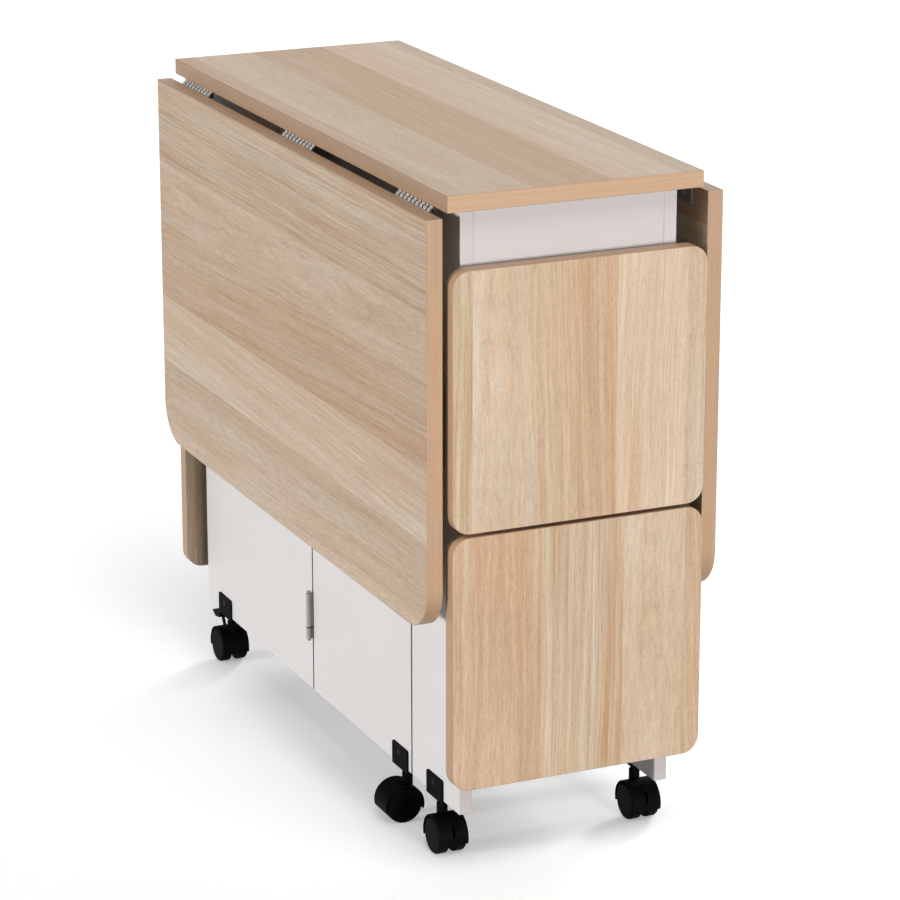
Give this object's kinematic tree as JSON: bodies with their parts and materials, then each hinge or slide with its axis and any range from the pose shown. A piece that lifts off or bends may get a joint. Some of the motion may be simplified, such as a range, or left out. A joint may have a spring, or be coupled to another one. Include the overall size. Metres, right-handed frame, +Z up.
{
  "type": "drop-leaf table",
  "caption": "Narrow drop-leaf table on twin-wheel casters, with swing-out gate panels under the hinged leaves and seat-panelled stools stored in its ends.",
  "frame": {"origin": "on the floor, under the centre of the closed table", "axes": "+X along the length away from the two casters with brake levers, +Z up, front leaf on the -Y side"},
  "size_m": [0.826, 0.3406, 0.75],
  "materials": {
    "oak_board": "matt oak-effect melamine",
    "white_board": "matt white melamine",
    "dowel_wood": "raw beech",
    "hinge_steel": "zinc plated",
    "screw_steel": "black zinc",
    "bracket_metal": "black powder coat",
    "caster_plastic": "moulded nylon",
    "wheel_plastic": "moulded nylon",
    "glide_plastic": "moulded nylon"
  },
  "bodies": {
    "carcass": {"bottom_panel": "white_board", "carcass_screws": "screw_steel", "centre_partition": "white_board", "corner_brackets": "bracket_metal", "end_aprons": "white_board", "front_long_panel": "white_board", "gate_hinge_wall_halves": "hinge_steel", "half_shelves": "white_board", "hinge_pins": "hinge_steel", "leaf_hinge_top_halves": "hinge_steel", "panel_dowels": "dowel_wood", "post_panels": "white_board", "rear_long_panel": "white_board", "top_panel": "oak_board"},
    "front_leaf": {"front_leaf": "oak_board", "front_leaf_hinge_halves": "hinge_steel", "front_leaf_screws": "screw_steel"},
    "front_gate": {"front_gate": "white_board", "front_gate_hinge_halves": "hinge_steel", "front_gate_screws": "screw_steel", "front_gate_bracket": "bracket_metal", "front_gate_glide": "glide_plastic"},
    "rear_leaf": {"rear_leaf": "oak_board", "rear_leaf_hinge_halves": "hinge_steel", "rear_leaf_screws": "screw_steel"},
    "rear_gate": {"rear_gate": "white_board", "rear_gate_hinge_halves": "hinge_steel", "rear_gate_screws": "screw_steel", "rear_gate_bracket": "bracket_metal", "rear_gate_glide": "glide_plastic"},
    "near_upper_stool": {"near_upper_stool_seat": "oak_board", "near_upper_stool_legs": "white_board", "near_upper_stool_rails": "white_board", "near_upper_stool_glides": "glide_plastic"},
    "near_lower_stool": {"near_lower_stool_seat": "oak_board", "near_lower_stool_legs": "white_board", "near_lower_stool_rails": "white_board", "near_lower_stool_glides": "glide_plastic"},
    "far_upper_stool": {"far_upper_stool_seat": "oak_board", "far_upper_stool_legs": "white_board", "far_upper_stool_rails": "white_board", "far_upper_stool_glides": "glide_plastic"},
    "far_lower_stool": {"far_lower_stool_seat": "oak_board", "far_lower_stool_legs": "white_board", "far_lower_stool_rails": "white_board", "far_lower_stool_glides": "glide_plastic"},
    "near_front_swivel": {"near_front_caster_hood": "caster_plastic"},
    "near_front_wheels": {"near_front_caster_wheels": "wheel_plastic"},
    "near_rear_swivel": {"near_rear_caster_hood": "caster_plastic"},
    "near_rear_wheels": {"near_rear_caster_wheels": "wheel_plastic"},
    "far_front_swivel": {"far_front_caster_hood": "caster_plastic"},
    "far_front_wheels": {"far_front_caster_wheels": "wheel_plastic"},
    "far_front_brake": {"far_front_brake_lever": "caster_plastic"},
    "far_rear_swivel": {"far_rear_caster_hood": "caster_plastic"},
    "far_rear_wheels": {"far_rear_caster_wheels": "wheel_plastic"},
    "far_rear_brake": {"far_rear_brake_lever": "caster_plastic"},
    "front_gate_swivel": {"front_gate_caster_hood": "caster_plastic"},
    "front_gate_wheels": {"front_gate_caster_wheels": "wheel_plastic"},
    "rear_gate_swivel": {"rear_gate_caster_hood": "caster_plastic"},
    "rear_gate_wheels": {"rear_gate_caster_wheels": "wheel_plastic"}
  },
  "joints": [
    {"name": "front_leaf_hinge", "type": "hinge", "parent": "carcass", "child": "front_leaf", "pos_m": [0, -0.1475, 0.7272], "axis": [-1, 0, 0], "range_deg": [0, 90]},
    {"name": "rear_leaf_hinge", "type": "hinge", "parent": "carcass", "child": "rear_leaf", "pos_m": [0, 0.1475, 0.7272], "axis": [1, 0, 0], "range_deg": [0, 90]},
    {"name": "front_gate_hinge", "type": "hinge", "parent": "carcass", "child": "front_gate", "pos_m": [-0.0325, -0.13, 0.4], "axis": [0, 0, -1], "range_deg": [0, 5]},
    {"name": "rear_gate_hinge", "type": "hinge", "parent": "carcass", "child": "rear_gate", "pos_m": [0.0325, 0.13, 0.4], "axis": [0, 0, -1], "range_deg": [0, 5]},
    {"name": "near_upper_stool_slide", "type": "slide", "parent": "carcass", "child": "near_upper_stool", "axis": [1, 0, 0], "range_m": [0, 0.376]},
    {"name": "near_lower_stool_slide", "type": "slide", "parent": "carcass", "child": "near_lower_stool", "axis": [1, 0, 0], "range_m": [0, 0.376]},
    {"name": "far_upper_stool_slide", "type": "slide", "parent": "carcass", "child": "far_upper_stool", "axis": [-1, 0, 0], "range_m": [0, 0.376]},
    {"name": "far_lower_stool_slide", "type": "slide", "parent": "carcass", "child": "far_lower_stool", "axis": [-1, 0, 0], "range_m": [0, 0.376]},
    {"name": "near_front_swivel_turn", "type": "hinge", "parent": "carcass", "child": "near_front_swivel", "pos_m": [0.3195, -0.1175, 0.05], "axis": [0, 0, 1], "continuous": true},
    {"name": "near_front_wheel_spin", "type": "hinge", "parent": "near_front_swivel", "child": "near_front_wheels", "pos_m": [0.3295, -0.1175, 0.021], "axis": [0, 1, 0], "continuous": true},
    {"name": "near_rear_swivel_turn", "type": "hinge", "parent": "carcass", "child": "near_rear_swivel", "pos_m": [0.3195, 0.1175, 0.05], "axis": [0, 0, 1], "continuous": true},
    {"name": "near_rear_wheel_spin", "type": "hinge", "parent": "near_rear_swivel", "child": "near_rear_wheels", "pos_m": [0.3295, 0.1175, 0.021], "axis": [0, 1, 0], "continuous": true},
    {"name": "far_front_swivel_turn", "type": "hinge", "parent": "carcass", "child": "far_front_swivel", "pos_m": [-0.3195, -0.1175, 0.05], "axis": [0, 0, 1], "continuous": true},
    {"name": "far_front_wheel_spin", "type": "hinge", "parent": "far_front_swivel", "child": "far_front_wheels", "pos_m": [-0.3295, -0.1175, 0.021], "axis": [0, -1, 0], "continuous": true},
    {"name": "far_front_brake_press", "type": "hinge", "parent": "far_front_swivel", "child": "far_front_brake", "pos_m": [-0.3415, -0.1175, 0.031], "axis": [0, -1, 0], "range_deg": [0, 20]},
    {"name": "far_rear_swivel_turn", "type": "hinge", "parent": "carcass", "child": "far_rear_swivel", "pos_m": [-0.3195, 0.1175, 0.05], "axis": [0, 0, 1], "continuous": true},
    {"name": "far_rear_wheel_spin", "type": "hinge", "parent": "far_rear_swivel", "child": "far_rear_wheels", "pos_m": [-0.3295, 0.1175, 0.021], "axis": [0, -1, 0], "continuous": true},
    {"name": "far_rear_brake_press", "type": "hinge", "parent": "far_rear_swivel", "child": "far_rear_brake", "pos_m": [-0.3415, 0.1175, 0.031], "axis": [0, -1, 0], "range_deg": [0, 20]},
    {"name": "front_gate_swivel_turn", "type": "hinge", "parent": "front_gate", "child": "front_gate_swivel", "pos_m": [0.225, -0.1175, 0.05], "axis": [0, 0, 1], "continuous": true},
    {"name": "front_gate_wheel_spin", "type": "hinge", "parent": "front_gate_swivel", "child": "front_gate_wheels", "pos_m": [0.225, -0.1275, 0.021], "axis": [1, 0, 0], "continuous": true},
    {"name": "rear_gate_swivel_turn", "type": "hinge", "parent": "rear_gate", "child": "rear_gate_swivel", "pos_m": [-0.225, 0.1175, 0.05], "axis": [0, 0, 1], "continuous": true},
    {"name": "rear_gate_wheel_spin", "type": "hinge", "parent": "rear_gate_swivel", "child": "rear_gate_wheels", "pos_m": [-0.225, 0.1275, 0.021], "axis": [-1, 0, 0], "continuous": true}
  ]
}
